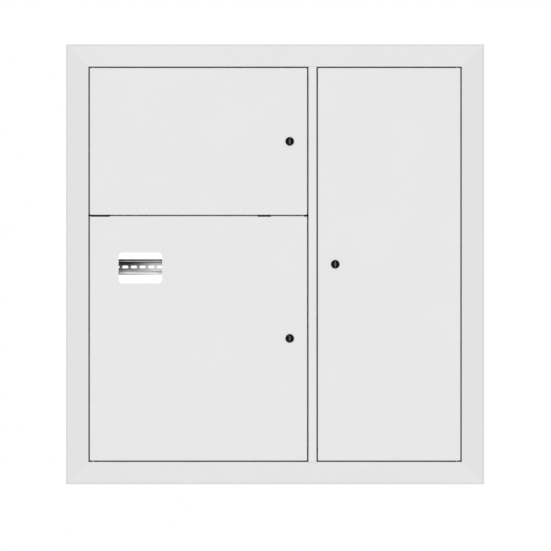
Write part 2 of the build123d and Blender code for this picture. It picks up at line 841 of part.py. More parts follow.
pan_screws("plastron_screws", plastron_y, cover_points, box_sheet + post_thread_depth - screw_end)

# Neutral and earth bars screwed to their supports, with wire holes and terminal screws
bar_rear_y = back_face_y - bar_stand
bar_front_y = bar_rear_y - bar_thickness
bar_z = open_bottom + bars_from_bottom
bar_length = bar_terminals * bar_terminal_pitch + 2 * bar_end
bar_centres = {
    "neutral_bar": (left_x - (bar_length + bar_gap) / 2, bar_z),
    "earth_bar": (left_x + (bar_length + bar_gap) / 2, bar_z),
}
bar_wire_y = bar_rear_y - bar_thickness / 2
support_foot_y = back_face_y - bar_support_foot
half_neck = bar_support_neck / 2
half_foot = bar_support_height / 2
terminal_points = []
bar_screw_points = []
for name, (x, z) in bar_centres.items():
    first_terminal = x - (bar_terminals - 1) / 2 * bar_terminal_pitch
    terminal_xs = [first_terminal + index * bar_terminal_pitch for index in range(bar_terminals)]
    terminal_points += [(terminal_x, z) for terminal_x in terminal_xs]
    support_offset = (bar_length - bar_support_width) / 2
    support_points = [(x - support_offset, z), (x + support_offset, z)]
    bar_screw_points += support_points

    with BuildPart() as bar:
        with BuildSketch(facing_front(bar_front_y)):
            with Locations((x, z)):
                Rectangle(bar_length, bar_height)
        extrude(amount=-bar_thickness)
        with BuildSketch(Plane.XY.offset(z)):
            with Locations(*[(terminal_x, bar_wire_y) for terminal_x in terminal_xs]):
                Circle(bar_wire_diameter / 2)
        extrude(amount=bar_height, both=True, mode=Mode.SUBTRACT)
        with BuildSketch(facing_front(bar_front_y)):
            with Locations(*[(terminal_x, z) for terminal_x in terminal_xs]):
                Circle(terminal_shank_diameter / 2 + thread_clearance)
        extrude(amount=-bar_thickness / 2, mode=Mode.SUBTRACT)
        with BuildSketch(facing_front(bar_front_y)):
            with Locations(*support_points):
                Circle(screw_hole_radius)
        extrude(amount=-bar_thickness, mode=Mode.SUBTRACT)
    save(bar, name)

    with BuildPart() as supports:
        for support_x, _ in support_points:
            with BuildSketch(Plane.YZ.offset(support_x)):
                with BuildLine():
                    Polyline(
                        (bar_rear_y, z - bar_height / 2),
                        (bar_rear_y, z + bar_height / 2),
                        (support_foot_y, z + half_neck),
                        (support_foot_y, z + half_foot),
                        (back_face_y, z + half_foot),
                        (back_face_y, z - half_foot),
                        (support_foot_y, z - half_foot),
                        (support_foot_y, z - half_neck),
                        close=True,
                    )
                make_face()
        extrude(amount=bar_support_width / 2, both=True)
        fillet(supports.edges().filter_by(Axis.Y), bar_support_corner)
        with BuildSketch(facing_front(bar_rear_y)):
            with Locations(*support_points):
                Circle(screw_diameter / 2 + thread_clearance)
        extrude(amount=-post_thread_depth, mode=Mode.SUBTRACT)
    save(supports, f"{name}_supports")
pan_screws("bar_screws", bar_front_y, bar_screw_points, bar_thickness + post_thread_depth - screw_end)

with BuildPart() as terminal_screws:
    with BuildSketch(facing_front(bar_front_y)):
        with Locations(*terminal_points):
            Circle(terminal_head_diameter / 2)
    extrude(amount=terminal_head_height)
    with BuildSketch(facing_front(bar_front_y)):
        with Locations(*terminal_points):
            Circle(terminal_shank_diameter / 2)
    extrude(amount=-bar_thickness / 2)
save(terminal_screws, "terminal_screws")

# Perforated mounting plate of the low-current section on its posts
plate_rear_y = back_face_y - plate_stand
plate_front_y = plate_rear_y - plate_sheet
plate_centre = (right_x, 0)
plate_width = right_opening_width - 2 * plate_margin_x
plate_height = 2 * (open_top - plate_margin_z)
slot_columns = int(plate_width / plate_slot_pitch_x)
slot_rows = int((plate_height - 4 * plate_post_inset) / plate_slot_pitch_z)
plate_points = corner_points(plate_centre, plate_width, plate_height, plate_post_inset)
with BuildPart() as comms_plate:
    with BuildSketch(facing_front(plate_front_y)):
        with Locations(plate_centre):
            RectangleRounded(plate_width, plate_height, plate_corner)
            with GridLocations(plate_slot_pitch_x, plate_slot_pitch_z, slot_columns, slot_rows):
                Rectangle(plate_slot_width, plate_slot_height, mode=Mode.SUBTRACT)
        with Locations(*plate_points):
            Circle(screw_hole_radius, mode=Mode.SUBTRACT)
    extrude(amount=-plate_sheet)
save(comms_plate, "comms_plate")
threaded_posts("comms_plate_posts", plate_points, plate_rear_y)
pan_screws("comms_plate_screws", plate_front_y, plate_points, plate_sheet + post_thread_depth - screw_end)

# Earth stud welded to the back panel, with its washer and nut
stud_point = (partition_left - stud_from_partition, open_bottom + stud_from_bottom)
with BuildPart() as earth_stud:
    with BuildSketch(facing_front(back_face_y)):
        with Locations(stud_point):
            Circle(stud_diameter / 2)
    extrude(amount=stud_length)
    chamfer(earth_stud.faces().sort_by(Axis.Y)[0].edges(), stud_diameter / 8)
save(earth_stud, "earth_stud")

with BuildPart() as earth_stud_nut:
    with BuildSketch(facing_front(back_face_y)):
        with Locations(stud_point):
            Circle(stud_washer_diameter / 2)
    extrude(amount=stud_washer_thickness)
    with BuildSketch(facing_front(back_face_y - stud_washer_thickness)):
        with Locations(stud_point):
            RegularPolygon(stud_nut_flats / 2, 6, major_radius=False)
    extrude(amount=stud_nut_height)
    with BuildSketch(facing_front(back_face_y)):
        with Locations(stud_point):
            Circle(stud_diameter / 2 + thread_clearance)
    extrude(amount=stud_washer_thickness + stud_nut_height, mode=Mode.SUBTRACT)
save(earth_stud_nut, "earth_stud_nut")
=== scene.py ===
"""Looks of the floor distribution board: finishes, sealing bead, small fasteners, light and camera.

Metres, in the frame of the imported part: the front faces -Y, +Z is up.
"""

import json
import math

import bmesh
import bpy
from mathutils import Matrix, Vector


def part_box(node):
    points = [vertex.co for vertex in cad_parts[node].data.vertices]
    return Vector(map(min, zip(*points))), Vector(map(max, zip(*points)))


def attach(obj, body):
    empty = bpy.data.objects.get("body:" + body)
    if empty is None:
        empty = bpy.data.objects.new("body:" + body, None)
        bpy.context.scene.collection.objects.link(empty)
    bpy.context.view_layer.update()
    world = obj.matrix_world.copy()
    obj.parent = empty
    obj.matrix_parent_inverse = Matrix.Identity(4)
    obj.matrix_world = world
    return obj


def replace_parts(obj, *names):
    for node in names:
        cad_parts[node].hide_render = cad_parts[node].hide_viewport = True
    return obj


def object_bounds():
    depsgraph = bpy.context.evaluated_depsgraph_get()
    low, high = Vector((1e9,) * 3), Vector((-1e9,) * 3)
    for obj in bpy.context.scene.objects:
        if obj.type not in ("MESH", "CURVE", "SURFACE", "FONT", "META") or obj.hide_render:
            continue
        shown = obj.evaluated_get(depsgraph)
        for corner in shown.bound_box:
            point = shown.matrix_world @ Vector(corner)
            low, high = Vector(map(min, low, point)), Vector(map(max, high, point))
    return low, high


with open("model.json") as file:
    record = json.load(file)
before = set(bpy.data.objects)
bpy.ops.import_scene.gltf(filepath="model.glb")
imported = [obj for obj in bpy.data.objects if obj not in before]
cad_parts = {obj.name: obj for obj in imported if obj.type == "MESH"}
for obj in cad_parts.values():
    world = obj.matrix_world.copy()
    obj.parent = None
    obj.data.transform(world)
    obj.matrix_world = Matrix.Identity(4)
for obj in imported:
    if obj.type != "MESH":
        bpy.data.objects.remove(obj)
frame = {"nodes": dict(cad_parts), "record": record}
cad_low, cad_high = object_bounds()

# Photograph's frame
IMAGE_PIXELS = 551
METRES_PER_PIXEL = 0.0022715
OBJECT_MIDDLE_PIXEL = (275.08, 264.27)

# Camera, with its sensor in millimetres
SENSOR_WIDTH = 36.0
CAMERA_DISTANCE = 10.0
CAMERA_CLIP_END = 100.0

# Light
WHITE = (1.0, 1.0, 1.0, 1.0)
DOME_STRENGTH = 0.765
SIDE_STRENGTH = 0.21
SIDE_FADE = 0.8
STRIP_RADIANCE = 1.35
STRIP_DISTANCE = 20.0
STRIP_HALF_WIDTH_DEG = 13.0
STRIP_HALF_HEIGHT_DEG = 38.0

# Floor
FLOOR_BELOW_PART = 1.4
FLOOR_RADIUS = 2.4
FLOOR_FADE_START = 0.9
FLOOR_SEGMENTS = 96
FLOOR_COLOUR = (0.88, 0.88, 0.88)
FLOOR_ROUGHNESS = 0.7

# Black bead in the corner of the stop flanges, put there as painted shade deep in the door gaps
FRAME_BEAD_WIDTH = 0.0016
MULLION_BEAD_WIDTH = 0.0022
MIDDLE_BEAD_WIDTH = 0.0008
BEAD_HEIGHT = 0.0010
BEAD_FROM_WALL = 0.0003
BEAD_FROM_PIECE = 0.0005
BEAD_ARC_STEPS = 6

# Tape round the top edge of the meter door, and the door's outer radii
TAPE_THICKNESS = 0.00015
TAPE_ON_FRONT = 0.0013
TAPE_ON_TOP = 0.0008
TAPE_ARC_STEPS = 6
DOOR_FOLD_RADIUS = 0.0016
DOOR_CORNER_RADIUS = 0.0025

# Screws and the earth stud: sizes
SCREW_RADIUS = 0.002
SCREW_PITCH = 0.0007
PAN_HEAD_HEIGHT = 0.0024
TERMINAL_HEAD_HEIGHT = 0.002
STUD_PITCH = 0.00125

# Screws and the earth stud: shares of the head's radius or height, of the pitch, and of the shank's radius
HEAD_FLAT_SHARE = 0.66
HEAD_EDGE_SHARE = 0.35
RECESS_REACH_SHARE = 0.52
RECESS_DEPTH_SHARE = 0.42
RECESS_FLOOR_SHARE = 0.6
RECESS_ARM_SHARE = 0.24
THREAD_DEPTH_SHARE = 0.5
TIP_SHARE = 0.75

# Meshes
MERGE_DISTANCE = 1e-6
SHARP_ANGLE = math.radians(32.0)
TURNED_SEGMENTS = 20
THREAD_STEPS = 4
HEAD_STEPS = 5

# Colours
COAT_COLOUR = (0.80, 0.80, 0.80)
ZINC_COLOUR = (0.50, 0.505, 0.515)
GALVANISED_COLOUR = (0.37, 0.378, 0.388)
RAIL_COLOUR = (0.57, 0.575, 0.58)
PIN_COLOUR = (0.23, 0.23, 0.235)
LOCK_ZINC_COLOUR = (0.070, 0.070, 0.071)
BLACK_PLASTIC_COLOUR = (0.005, 0.005, 0.0054)
BLACK_STEEL_COLOUR = (0.010, 0.010, 0.010)
RUBBER_COLOUR = (0.008, 0.008, 0.008)
BRASS_COLOUR = (0.50, 0.36, 0.15)
BLUE_COLOUR = (0.02, 0.10, 0.42)
GREEN_COLOUR = (0.10, 0.33, 0.05)

# Range that the factor of a noise texture mostly stays in
NOISE_LOW = 0.3
NOISE_HIGH = 0.7

# Painted shade along the outer rim of the frame
RIM_SHADE_TONE = 0.93
RIM_SHADE_WIDTH = 0.0030
RIM_SHADE_FADE_WIDTH = 0.0045

# Depth behind the front of a lock's bit over which its zinc turns black with painted shade further into the
# recess
BIT_SHADE_DEPTH = 0.002

# Painted shade and painted reflections across a rail, dark under its top fold and light on its lower flange:
# height above its middle and share of the rail's colour
RAIL_SHADE_AND_REFLECTION_TONES = (
    (-0.0168, 0.05),
    (-0.0154, 0.62),
    (-0.0130, 0.92),
    (-0.0115, 1.00),
    (-0.0100, 0.85),
    (-0.0085, 0.18),
    (0.0000, 0.20),
    (0.0040, 0.06),
    (0.0108, 0.01),
    (0.0116, 0.52),
    (0.0136, 0.50),
    (0.0142, 0.00),
)

# Painted reflections in bands along a rail, whose share changes across it between two heights above its
# middle
RAIL_REFLECTION_TONE = 0.80
RAIL_REFLECTION_SHARES = (0.9, 0.15)
RAIL_REFLECTION_HEIGHTS = (0.0035, 0.0150)
RAIL_REFLECTION_BAND_LENGTH = 0.20
RAIL_REFLECTION_BAND_MIDDLE = -0.240

# Lengthwise lines of drawn metal: scale along x, y and z
RAIL_STREAK_SCALE = (9.0, 1400.0, 1400.0)
BRASS_LINE_SCALE = (20.0, 1800.0, 1800.0)


def shade(colour, factor):
    """Colour made lighter or darker, with an alpha of 1."""
    return tuple(channel * factor for channel in colour) + (1.0,)


def grey(tone):
    """Grey colour of a tone, with an alpha of 1."""
    return (tone, tone, tone, 1.0)


class Nodes:
    """Helpers that add nodes to a tree and link them."""

    def __init__(self, tree):
        self.tree = tree

    def feed(self, value, socket):
        """Link an output to the socket, or set the socket to a constant."""
        if isinstance(value, bpy.types.NodeSocket):
            self.tree.links.new(value, socket)
        else:
            socket.default_value = value

    def node(self, kind, **inputs):
        """New node with its inputs fed by name."""
        made = self.tree.nodes.new(kind)
        for name, value in inputs.items():
            self.feed(value, made.inputs[name.replace("_", " ")])
        return made

    def operation(self, kind, name, *inputs):
        """Outputs of a new math or vector math node, with its inputs fed in order."""
        made = self.tree.nodes.new(kind)
        made.operation = name
        for value, socket in zip(inputs, made.inputs):
            self.feed(value, socket)
        return made.outputs


class Finish(Nodes):
    """A node material being made: its Principled shader, its object coordinates and its patterns."""

    def __init__(self, name, metallic=0.0, specular=0.5):
        self.material = bpy.data.materials.new(name)
        self.material.use_nodes = True
        super().__init__(self.material.node_tree)
        self.shader = self.tree.nodes["Principled BSDF"]
        self.shader.inputs["Metallic"].default_value = metallic
        self.shader.inputs["Specular IOR Level"].default_value = specular
        self.place = self.node("ShaderNodeTexCoord").outputs["Object"]
        self.normal = None

    def stretched(self, scale):
        """Object coordinates scaled along each axis."""
        return self.node("ShaderNodeMapping", Vector=self.place, Scale=scale).outputs["Vector"]

    def axes(self, vector):
        """X, Y and Z of a vector."""
        return self.node("ShaderNodeSeparateXYZ", Vector=vector).outputs

    def noise(self, scale, detail=2.0, vector=None):
        made = self.node("ShaderNodeTexNoise", Vector=vector or self.place, Scale=scale, Detail=detail)
        return made.outputs["Fac"]

    def between(self, factor, low, high, start=NOISE_LOW, end=NOISE_HIGH):
        """Map a factor from start..end to low..high."""
        made = self.node("ShaderNodeMapRange", Value=factor)
        for name, value in (("From Min", start), ("From Max", end), ("To Min", low), ("To Max", high)):
            made.inputs[name].default_value = value
        return made.outputs["Result"]

    def spread(self, noise):
        """Noise stretched over the whole range from 0 to 1."""
        return self.between(noise, low=0.0, high=1.0)

    def wave(self, length, middle, period):
        """Cosine wave along a length, highest at the middle."""
        turn = self.node("ShaderNodeMapRange", Value=length)
        turn.clamp = False
        for name, value in (("From Min", middle), ("From Max", middle + period), ("To Max", 2 * math.pi)):
            turn.inputs[name].default_value = value
        return self.operation("ShaderNodeMath", "COSINE", turn.outputs["Result"])["Value"]

    def ramp(self, factor, stops):
        """Grey tone along a factor, from stops of (place from 0 to 1, tone) in order."""
        made = self.node("ShaderNodeValToRGB", Fac=factor)
        elements = made.color_ramp.elements
        elements.remove(elements[-1])
        for place, tone in stops[1:]:
            elements.new(place).color = grey(tone)
        first_place, first_tone = stops[0]
        elements[0].position = first_place
        elements[0].color = grey(first_tone)
        return made.outputs["Color"]

    def mix(self, factor, first, second, blend_type="MIX"):
        """Colour mixed from two colours."""
        made = self.tree.nodes.new("ShaderNodeMix")
        made.data_type = "RGBA"
        made.blend_type = blend_type
        self.feed(factor, made.inputs["Factor"])
        for name, value in (("A", first), ("B", second)):
            socket = next(s for s in made.inputs if s.name == name and s.type == "RGBA")
            self.feed(value, socket)
        return next(s for s in made.outputs if s.type == "RGBA")

    def product(self, first, second):
        """Two tones or colours multiplied."""
        return self.mix(1.0, first, second, "MULTIPLY")

    def tones(self, factor, colour, low, high):
        """Colour that goes with a factor from a low to a high share of its brightness."""
        return self.mix(factor, shade(colour, low), shade(colour, high))

    def colour(self, value):
        self.feed(value, self.shader.inputs["Base Color"])

    def roughness(self, value):
        self.feed(value, self.shader.inputs["Roughness"])

    def bump(self, height, distance, strength):
        """Bump of a height output, on top of the bumps made before."""
        made = self.node("ShaderNodeBump", Height=height, Distance=distance, Strength=strength)
        if self.normal is not None:
            self.feed(self.normal, made.inputs["Normal"])
        self.normal = made.outputs["Normal"]
        self.feed(self.normal, self.shader.inputs["Normal"])


def powder_coat():
    """Light grey powder coat with fine orange peel, and painted shade along the outer rim of the frame."""
    finish = Finish("powder_coat")
    cloud = finish.noise(scale=6.0, detail=3.0)
    colour = finish.tones(finish.spread(cloud), COAT_COLOUR, low=0.992, high=1.008)
    # Painted shade: darker within a few millimetres of the outer rim at the left, right, top and bottom
    from_middle = finish.operation("ShaderNodeVectorMath", "ABSOLUTE", finish.place)["Vector"]
    reach = finish.axes(from_middle)
    for axis, edge in (("X", cad_high.x), ("Z", cad_high.z)):
        rim = finish.between(reach[axis], 1.0, RIM_SHADE_TONE, start=edge - RIM_SHADE_FADE_WIDTH, end=edge - RIM_SHADE_WIDTH)
        colour = finish.product(colour, rim)
    finish.colour(colour)
    finish.roughness(finish.between(finish.noise(scale=60.0, detail=3.0), low=0.32, high=0.40))
    peel = finish.noise(scale=420.0, detail=1.0)
    grain = finish.noise(scale=1700.0, detail=1.0)
    finish.bump(peel, distance=0.00006, strength=0.25)
    finish.bump(grain, distance=0.00002, strength=0.2)
    return finish.material


def plated_steel(name, colour):
    """Small steel pieces with a thin metallic coating."""
    finish = Finish(name, metallic=1.0)
    cloud = finish.noise(scale=140.0, detail=3.0)
    finish.colour(finish.tones(finish.spread(cloud), colour, low=0.90, high=1.06))
    finish.roughness(finish.between(finish.noise(scale=380.0), low=0.30, high=0.46))
    finish.bump(finish.noise(scale=900.0), distance=0.00002, strength=0.25)
    return finish.material


def galvanised_sheet():
    """Hot-dip zinc on folded sheet, with its crystal spangle."""
    finish = Finish("galvanised_sheet", metallic=1.0)
    crystals = finish.node("ShaderNodeTexVoronoi", Vector=finish.place, Scale=130.0)
    spangle = finish.node("ShaderNodeSeparateColor", Color=crystals.outputs["Color"]).outputs["Red"]
    finish.colour(finish.tones(spangle, GALVANISED_COLOUR, low=0.88, high=1.10))
    finish.roughness(finish.between(spangle, low=0.34, high=0.50, start=0.0, end=1.0))
    finish.bump(finish.noise(scale=700.0), distance=0.00002, strength=0.2)
    return finish.material


def rolled_rail(node_name):
    """Rolled and passivated steel rail, drawn lengthwise, with painted shade across it and painted
    reflections in soft bands along it.
    """
    low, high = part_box(node_name)
    middle = (low.z + high.z) / 2
    finish = Finish(node_name + "_steel", metallic=1.0)
    place = finish.axes(finish.place)
    across = finish.between(place["Z"], low=0.0, high=1.0, start=low.z, end=high.z)
    stops = [(0.5 + height / (high.z - low.z), tone) for height, tone in RAIL_SHADE_AND_REFLECTION_TONES]
    # Painted shade and painted reflections across the rail's profile, from the listed tones
    tones = finish.ramp(across, stops)
    # Painted reflections in soft bands along the rail, mixed over the painted shade tones
    wave = finish.wave(place["X"], RAIL_REFLECTION_BAND_MIDDLE, RAIL_REFLECTION_BAND_LENGTH)
    reflection_band = finish.between(wave, low=0.0, high=1.0, start=-1.0, end=1.0)
    fade = [middle + height for height in RAIL_REFLECTION_HEIGHTS]
    share = finish.between(place["Z"], *RAIL_REFLECTION_SHARES, *fade)
    painted_light = finish.mix(finish.product(reflection_band, share), tones, grey(RAIL_REFLECTION_TONE))
    streaks = finish.noise(scale=1.0, detail=4.0, vector=finish.stretched(RAIL_STREAK_SCALE))
    streaked = finish.product(painted_light, finish.between(streaks, low=0.88, high=1.12))
    finish.colour(finish.product(streaked, shade(RAIL_COLOUR, 1.0)))
    finish.roughness(finish.between(streaks, low=0.26, high=0.34))
    finish.bump(streaks, distance=0.00002, strength=0.3)
    return finish.material


def cast_zinc():
    """Cast zinc of the lock rotors, a little grainy, zinc-coloured on the front of the bit and black with
    painted shade further into the recess.
    """
    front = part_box("consumer_lock_rotor")[0].y
    finish = Finish("cast_zinc", metallic=0.9)
    grain = finish.noise(scale=650.0, detail=3.0)
    depth = finish.axes(finish.place)["Y"]
    # Painted shade: black further into the lock's recess, behind the front of the bit
    unshaded_share = finish.between(depth, low=1.0, high=0.0, start=front, end=front + BIT_SHADE_DEPTH)
    grainy_zinc = finish.tones(finish.spread(grain), LOCK_ZINC_COLOUR, low=0.80, high=1.15)
    finish.colour(finish.mix(unshaded_share, shade(BLACK_PLASTIC_COLOUR, 1.0), grainy_zinc))
    finish.roughness(finish.between(grain, low=0.36, high=0.52))
    finish.bump(finish.noise(scale=1500.0), distance=0.00003, strength=0.3)
    return finish.material


def moulded(name, colour, roughness, specular=0.5):
    """Plastic, rubber or black steel with a fine eroded texture."""
    finish = Finish(name, specular=specular)
    cloud = finish.noise(scale=90.0, detail=3.0)
    finish.colour(finish.tones(finish.spread(cloud), colour, low=0.85, high=1.15))
    wear = finish.noise(scale=500.0)
    finish.roughness(finish.between(wear, low=roughness - 0.05, high=roughness + 0.06))
    finish.bump(finish.noise(scale=2200.0), distance=0.00003, strength=0.25)
    return finish.material


def drawn_brass():
    """Drawn brass bar with lengthwise lines."""
    finish = Finish("drawn_brass", metallic=1.0)
    lines = finish.noise(scale=1.0, detail=3.0, vector=finish.stretched(BRASS_LINE_SCALE))
    finish.colour(finish.tones(finish.spread(lines), BRASS_COLOUR, low=0.84, high=1.08))
    finish.roughness(finish.between(lines, low=0.24, high=0.40))
    finish.bump(lines, distance=0.00002, strength=0.25)
    return finish.material


phosphate = plated_steel("phosphate_coating", PIN_COLOUR)
galvanised = galvanised_sheet()
slot_finishes = {
    "painted_sheet": powder_coat(),
    "zinc_steel": plated_steel("zinc_plate", ZINC_COLOUR),
    "dark_steel": moulded("blackened_steel", BLACK_STEEL_COLOUR, roughness=0.5, specular=0.05),
    "black_plastic": moulded("black_plastic", BLACK_PLASTIC_COLOUR, roughness=0.42, specular=0.05),
    "lock_zinc": cast_zinc(),
    "black_rubber": moulded("black_rubber", RUBBER_COLOUR, roughness=0.8, specular=0.05),
    "brass_bar": drawn_brass(),
    "blue_plastic": moulded("blue_plastic", BLUE_COLOUR, roughness=0.4),
    "green_plastic": moulded("green_plastic", GREEN_COLOUR, roughness=0.4),
}
node_finishes = {
    "meter_rail": rolled_rail("meter_rail"),
    "module_rail": rolled_rail("module_rail"),
    "top_hinge_pins": phosphate,
    "middle_hinge_pin": phosphate,
    "bottom_hinge_pins": phosphate,
    "rail_brackets": galvanised,
    "comms_plate": galvanised,
}
for subpart in frame["record"]["subparts"]:
    node_name = subpart["node"]
    material = node_finishes.get(node_name, slot_finishes[subpart["material_slot"]])
    for material_slot in frame["nodes"][node_name].material_slots:
        material_slot.material = material


def add_mesh(name, shape, slot_name, body="enclosure"):
    """New piece of a bmesh, which is freed, riding on a body with the finish of a material slot."""
    mesh = bpy.data.meshes.new(name)
    bmesh.ops.recalc_face_normals(shape, faces=shape.faces)
    for face in shape.faces:
        face.smooth = True
    shape.to_mesh(mesh)
    shape.free()
    mesh.set_sharp_from_angle(angle=SHARP_ANGLE)
    mesh.materials.append(slot_finishes[slot_name])
    piece = bpy.data.objects.new(name, mesh)
    bpy.context.scene.collection.objects.link(piece)
    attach(piece, body)
    return piece


def islands(node_name):
    """Lowest and highest corner of each separate solid of a node."""
    shape = bmesh.new()
    shape.from_mesh(frame["nodes"][node_name].data)
    bmesh.ops.remove_doubles(shape, verts=shape.verts, dist=MERGE_DISTANCE)
    boxes = []
    waiting = set(shape.verts)
    while waiting:
        to_visit = [waiting.pop()]
        group = []
        while to_visit:
            vertex = to_visit.pop()
            group.append(vertex.co.copy())
            near = {edge.other_vert(vertex) for edge in vertex.link_edges} & waiting
            waiting -= near
            to_visit.extend(near)
        low = Vector(min(point[axis] for point in group) for axis in range(3))
        high = Vector(max(point[axis] for point in group) for axis in range(3))
        boxes.append((low, high))
    shape.free()
    return sorted(boxes, key=lambda box: tuple(box[0]))


def middle_gap_height():
    """Height of the middle of the gap between the two left doors."""
    return (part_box("consumer_door")[0].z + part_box("meter_door")[1].z) / 2


def add_band(shape, first, second):
    """Faces between two closed rows of the same number of points."""
    for index in range(len(first)):
        shape.faces.new((first[index - 1], first[index], second[index], second[index - 1]))


def add_bead(shape, start, end, across):
    """Half-round bead on the stop flange from start to end, as wide as the vector across."""
    rows = []
    for point in (start, end):
        row = []
        for step in range(BEAD_ARC_STEPS + 1):
            angle = math.pi * step / BEAD_ARC_STEPS
            offset = across * (math.cos(angle) / 2)
            rise = Vector((0.0, -BEAD_HEIGHT * math.sin(angle), 0.0))
            row.append(shape.verts.new(point + offset + rise))
        rows.append(row)
    for step in range(BEAD_ARC_STEPS):
        shape.faces.new((rows[0][step], rows[0][step + 1], rows[1][step + 1], rows[1][step]))
    shape.faces.new((rows[0][-1], rows[0][0], rows[1][0], rows[1][-1]))
    for row in rows:
        shape.faces.new(row)


def clear_runs(start, end, blocks):
    """Stretches from start to end that keep clear of the blocked stretches."""
    runs = []
    for low, high in sorted(blocks):
        if low > start and high < end:
            runs.append((start, low - BEAD_FROM_PIECE))
            start = high + BEAD_FROM_PIECE
    runs.append((start, end))
    return runs


def add_gap_shade_bead():
    """Black bead along the stop flanges behind the gaps, painted shade deep in the gaps, clear of the hinge
    lug and the bumpers.
    """
    stop_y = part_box("middle_stop_rail")[0].y
    lug_low, lug_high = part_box("middle_hinge_lug")
    mullion_low, mullion_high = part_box("frame_mullion")
    left = lug_low.x
    right = -left
    top = mullion_high.z
    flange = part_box("frame_left")[1].x - left
    mullion_left = mullion_low.x + flange
    mullion_right = mullion_high.x - flange
    middle = middle_gap_height()
    bumpers = islands("door_bumpers")
    left_bumpers = [(low.z, high.z) for low, high in bumpers if mullion_low.x < low.x < mullion_left]
    right_bumpers = [(low.z, high.z) for low, high in bumpers if low.x > mullion_left]
    middle_bumpers = [(low.x, high.x) for low, high in bumpers if low.z < middle < high.z]
    frame_inset = BEAD_FROM_WALL + FRAME_BEAD_WIDTH / 2
    mullion_inset = BEAD_FROM_WALL + MULLION_BEAD_WIDTH / 2
    past_frame = FRAME_BEAD_WIDTH + 2 * BEAD_FROM_WALL
    past_mullion = MULLION_BEAD_WIDTH + 2 * BEAD_FROM_WALL
    shape = bmesh.new()

    uprights = (
        (left + frame_inset, FRAME_BEAD_WIDTH, [(lug_low.z, lug_high.z)]),
        (right - frame_inset, FRAME_BEAD_WIDTH, []),
        (mullion_left - mullion_inset, MULLION_BEAD_WIDTH, left_bumpers),
        (mullion_right + mullion_inset, MULLION_BEAD_WIDTH, right_bumpers),
    )
    for x, width, blocks in uprights:
        for low, high in clear_runs(BEAD_FROM_WALL - top, top - BEAD_FROM_WALL, blocks):
            add_bead(shape, Vector((x, stop_y, low)), Vector((x, stop_y, high)), Vector((width, 0.0, 0.0)))

    levels = [(middle, MIDDLE_BEAD_WIDTH, lug_high.x + BEAD_FROM_PIECE, mullion_low.x, middle_bumpers)]
    for z in (frame_inset - top, top - frame_inset):
        levels.append((z, FRAME_BEAD_WIDTH, left + past_frame, mullion_left - past_mullion, []))
        levels.append((z, FRAME_BEAD_WIDTH, mullion_right + past_mullion, right - past_frame, []))
    for z, width, start, end, blocks in levels:
        for low, high in clear_runs(start, end, blocks):
            add_bead(shape, Vector((low, stop_y, z)), Vector((high, stop_y, z)), Vector((0.0, 0.0, width)))
    add_mesh("gap_shade_bead", shape, "black_rubber")


def tape_line(bend_y, bend_z, reach):
    """Points (y, z) along the folded edge of a door, at a reach from the middle of its bend."""
    first_angle = math.acos(1 - TAPE_ON_FRONT / DOOR_FOLD_RADIUS)
    angles = [first_angle * step / TAPE_ARC_STEPS for step in range(TAPE_ARC_STEPS, -1, -1)]
    line = [(bend_y - reach * math.sin(angle), bend_z + reach * math.cos(angle)) for angle in angles]
    return line + [(bend_y + TAPE_ON_TOP, bend_z + reach)]


def add_edge_tape():
    """Black tape over the top edge of the meter door where it passes the hinge lug and the bumpers, which
    darkens the gap there.
    """
    door_low, door_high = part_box("meter_door")
    middle = middle_gap_height()
    passed = [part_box("middle_hinge_lug")]
    passed += [(low, high) for low, high in islands("door_bumpers") if low.z < middle < high.z]
    bend_y = door_low.y + DOOR_FOLD_RADIUS
    bend_z = door_high.z - DOOR_FOLD_RADIUS
    outer = tape_line(bend_y, bend_z, DOOR_FOLD_RADIUS + TAPE_THICKNESS)
    inner = tape_line(bend_y, bend_z, DOOR_FOLD_RADIUS)
    shape = bmesh.new()
    for low, high in passed:
        start = max(low.x, door_low.x + DOOR_CORNER_RADIUS)
        end = min(high.x, door_high.x - DOOR_CORNER_RADIUS)
        rows = [[shape.verts.new((x, y, z)) for y, z in outer + inner[::-1]] for x in (start, end)]
        add_band(shape, *rows)
        for row in rows:
            for step in range(len(outer) - 1):
                shape.faces.new((row[step], row[step + 1], row[-2 - step], row[-1 - step]))
    add_mesh("door_edge_tape", shape, "black_rubber", body="meter_door")


def thread_levels(start, end, radius, pitch):
    """Levels of (y, radius, pitch) along a thread."""
    count = math.ceil((end - start) / pitch * THREAD_STEPS)
    return [(start + (end - start) * index / count, radius, pitch) for index in range(count + 1)]


def add_turned(shape, x, z, levels):
    """Skin of a turned piece along y, from levels of (y, radius, pitch of the thread there or None)."""
    rings = []
    for y, radius, pitch in levels:
        ring = []
        for step in range(TURNED_SEGMENTS):
            turn = step / TURNED_SEGMENTS
            angle = 2 * math.pi * turn
            groove = 0.0
            if pitch is not None:
                groove = THREAD_DEPTH_SHARE * pitch * abs(2 * ((y / pitch - turn) % 1.0) - 1)
            reach = radius - groove
            ring.append(shape.verts.new((x + reach * math.cos(angle), y, z + reach * math.sin(angle))))
        rings.append(ring)
    for first, second in zip(rings, rings[1:]):
        add_band(shape, first, second)
    return rings


def add_cross_recess(shape, x, z, rim, reach, depth):
    """Tapered cross recess in the flat top of a screw head, inside the ring of points round that flat."""
    top = rim[0].co.y
    rows = []
    for size, y in ((reach, top), (RECESS_FLOOR_SHARE * reach, top + depth)):
        half_arm = RECESS_ARM_SHARE * size
        row = []
        for quarter in range(4):
            turn = Matrix.Rotation(quarter * math.pi / 2, 3, "Y")
            for along, across in ((size, half_arm), (size, -half_arm), (half_arm, -half_arm)):
                row.append(shape.verts.new(Vector((x, y, z)) + turn @ Vector((along, 0.0, across))))
        rows.append(row)
    add_band(shape, *rows)
    mouth, floor = rows
    shape.faces.new(floor)
    edges = []
    for ring in (mouth, rim):
        edges += [shape.edges.get((ring[index - 1], ring[index])) for index in range(len(ring))]
    bmesh.ops.triangle_fill(shape, use_beauty=True, edges=edges)


